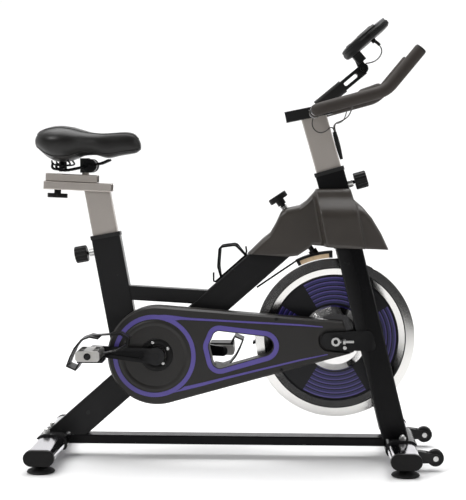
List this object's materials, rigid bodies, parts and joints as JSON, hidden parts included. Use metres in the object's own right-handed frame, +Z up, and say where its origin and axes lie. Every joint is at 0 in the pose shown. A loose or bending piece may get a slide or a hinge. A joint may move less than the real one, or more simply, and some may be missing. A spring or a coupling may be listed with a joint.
{
  "type": "exercise bike",
  "caption": "Indoor cycling bike with a belt-driven flywheel, felt brake, sliding seat and handlebar posts, toe-cage pedals and a small console.",
  "frame": {"origin": "on the floor, below the middle of the overall box", "axes": "+X forward, +Y to the rider's left, +Z up"},
  "size_m": [1.1124, 0.5, 1.2091],
  "materials": {
    "frame_black": "satin black powder coat",
    "chrome_tube": "bright plated oval tube",
    "black_plastic": "fine-grained black moulding",
    "steel": "zinc-plated steel",
    "bracket_black": "black paint",
    "guard_plastic": "dark brown-grey satin moulding",
    "belt_rubber": "ribbed drive belt",
    "pulley_metal": "machined pulley",
    "arm_metal": "black painted forging",
    "pedal_body": "cast pedal body",
    "flywheel_iron": "black flywheel with a turned bright rim",
    "hub_chrome": "bright plated dish",
    "silver_paint": "warm silver metallic paint",
    "rail_steel": "black rail wire",
    "saddle_vinyl": "soft black vinyl cover",
    "knob_plastic": "ribbed black knob",
    "pad_holder": "black holder with felt",
    "grip_foam": "dark closed-cell foam sleeve",
    "console_shell": "dark console housing",
    "cable_rubber": "thin dark sheath",
    "wheel_plastic": "hard black wheel",
    "foot_rubber": "black rubber foot",
    "purple_trim": "purple printed or painted trim",
    "felt": "tan wool felt",
    "screen": "display window",
    "bright_bolt": "bright small screws"
  },
  "bodies": {
    "root": {"main_beam": "frame_black", "seat_tube": "frame_black", "top_tube": "frame_black", "head_tube": "frame_black", "fork_legs": "frame_black", "base_beam": "frame_black", "bottle_cage": "frame_black", "rear_stabilizer": "chrome_tube", "front_stabilizer": "chrome_tube", "plastic_caps": "black_plastic", "frame_bolts": "steel", "flywheel_axle": "steel", "bushes": "steel", "springs": "steel", "bottom_bracket": "bracket_black", "guard_outer": "guard_plastic", "guard_inner": "guard_plastic", "shroud": "guard_plastic", "shroud_rear": "guard_plastic", "drive_belt": "belt_rubber"},
    "crank": {"crank_axle": "steel", "crank_pulley": "pulley_metal", "crank_arm_right": "arm_metal", "crank_arm_left": "arm_metal"},
    "right_pedal": {"pedal_right": "pedal_body", "toe_cage_right": "black_plastic"},
    "left_pedal": {"pedal_left": "pedal_body", "toe_cage_left": "black_plastic"},
    "flywheel_body": {"flywheel": "flywheel_iron", "flywheel_hub": "hub_chrome", "flywheel_pulley": "pulley_metal"},
    "seat_mast": {"seat_post": "silver_paint", "seat_channel": "silver_paint"},
    "seat_carriage": {"seat_slider": "silver_paint", "saddle_clamp": "black_plastic"},
    "saddle_body": {"saddle": "saddle_vinyl", "saddle_rails": "rail_steel"},
    "seat_knob_body": {"seat_knob": "black_plastic"},
    "seat_pin_body": {"seat_pin": "black_plastic"},
    "handlebar_pin_body": {"handlebar_pin": "black_plastic"},
    "brake_plunger": {"brake_pad": "pad_holder"},
    "brake_knob": {"brake_rod": "knob_plastic"},
    "handlebar_body": {"handlebar_post": "silver_paint", "bar_mount": "frame_black", "handlebar": "grip_foam", "console_boom": "black_plastic", "cable_sleeve": "black_plastic", "loop_cable": "cable_rubber", "sensor_cable_right": "cable_rubber", "sensor_cable_left": "cable_rubber"},
    "console_body": {"console": "console_shell", "console_bracket": "black_plastic", "console_lead": "cable_rubber"},
    "button": {"console_button": "black_plastic"},
    "right_wheel": {"wheel_right": "wheel_plastic"},
    "left_wheel": {"wheel_left": "wheel_plastic"},
    "rear_right_foot": {"foot_rear_right": "foot_rubber"},
    "rear_left_foot": {"foot_rear_left": "foot_rubber"},
    "front_right_foot": {"foot_front_right": "foot_rubber"},
    "front_left_foot": {"foot_front_left": "foot_rubber"}
  },
  "joints": [
    {"name": "flywheel_spin", "type": "hinge", "parent": "root", "child": "flywheel_body", "pos_m": [0.269, 0, 0.336], "axis": [0, 1, 0], "continuous": true},
    {"name": "crank_spin", "type": "hinge", "parent": "root", "child": "crank", "pos_m": [-0.218, 0, 0.295], "axis": [0, 1, 0], "continuous": true},
    {"name": "right_pedal_spin", "type": "hinge", "parent": "crank", "child": "right_pedal", "pos_m": [-0.38835, -0.168, 0.3099], "axis": [0, 1, 0], "continuous": true},
    {"name": "left_pedal_spin", "type": "hinge", "parent": "crank", "child": "left_pedal", "pos_m": [-0.04765, 0.168, 0.2801], "axis": [0, 1, 0], "continuous": true},
    {"name": "seat_height", "type": "slide", "parent": "root", "child": "seat_mast", "axis": [-0.1805, 0, 0.9836], "range_m": [-0.09, 0.11]},
    {"name": "seat_fore_aft", "type": "slide", "parent": "seat_mast", "child": "seat_carriage", "axis": [0.999, 0, -0.0454], "range_m": [-0.006, 0.04]},
    {"name": "saddle_tilt", "type": "hinge", "parent": "seat_carriage", "child": "saddle_body", "pos_m": [-0.407, 0, 0.811], "axis": [0, 1, 0], "range_deg": [-3, 3]},
    {"name": "seat_knob_turn", "type": "hinge", "parent": "seat_carriage", "child": "seat_knob_body", "pos_m": [-0.50054, 0, 0.75689], "axis": [0.0454, 0, 0.999], "continuous": true},
    {"name": "seat_pin_pull", "type": "slide", "parent": "root", "child": "seat_pin_body", "axis": [-0.9836, 0, -0.1805], "range_m": [0, 0.01], "stiffness_N_per_m": 600, "springref_m": -0.01},
    {"name": "handlebar_pin_pull", "type": "slide", "parent": "root", "child": "handlebar_pin_body", "axis": [0.9613, 0, 0.2756], "range_m": [0, 0.01], "stiffness_N_per_m": 600, "springref_m": -0.01},
    {"name": "brake_press", "type": "slide", "parent": "root", "child": "brake_plunger", "axis": [0.549, 0, -0.8358], "range_m": [0, 0.002], "stiffness_N_per_m": 3000, "springref_m": -0.006},
    {"name": "resistance_turn", "type": "hinge", "parent": "brake_plunger", "child": "brake_knob", "pos_m": [0.111, 0, 0.7225], "axis": [-0.549, 0, 0.8358], "continuous": true},
    {"name": "handlebar_height", "type": "slide", "parent": "root", "child": "handlebar_body", "axis": [-0.2756, 0, 0.9613], "range_m": [-0.01, 0.1]},
    {"name": "console_tilt", "type": "hinge", "parent": "handlebar_body", "child": "console_body", "pos_m": [0.342, 0, 1.076], "axis": [0, 1, 0], "range_deg": [-12, 12]},
    {"name": "console_button_press", "type": "slide", "parent": "console_body", "child": "button", "axis": [0.6547, 0, -0.7559], "range_m": [0, 0.001], "stiffness_N_per_m": 800, "springref_m": -0.002},
    {"name": "right_wheel_spin", "type": "hinge", "parent": "root", "child": "right_wheel", "pos_m": [0.5335, -0.15, 0.035], "axis": [0, 1, 0], "continuous": true},
    {"name": "left_wheel_spin", "type": "hinge", "parent": "root", "child": "left_wheel", "pos_m": [0.5335, 0.15, 0.035], "axis": [0, 1, 0], "continuous": true},
    {"name": "rear_right_foot_turn", "type": "hinge", "parent": "root", "child": "rear_right_foot", "pos_m": [-0.5145, -0.212, 0.01], "axis": [0, 0, 1], "continuous": true},
    {"name": "rear_left_foot_turn", "type": "hinge", "parent": "root", "child": "rear_left_foot", "pos_m": [-0.5145, 0.212, 0.01], "axis": [0, 0, 1], "continuous": true},
    {"name": "front_right_foot_turn", "type": "hinge", "parent": "root", "child": "front_right_foot", "pos_m": [0.4495, -0.212, 0.01], "axis": [0, 0, 1], "continuous": true},
    {"name": "front_left_foot_turn", "type": "hinge", "parent": "root", "child": "front_left_foot", "pos_m": [0.4495, 0.212, 0.01], "axis": [0, 0, 1], "continuous": true}
  ],
  "couplings": [
    {"joint": "crank_spin", "follows": "flywheel_spin", "ratio": 0.33684}
  ]
}
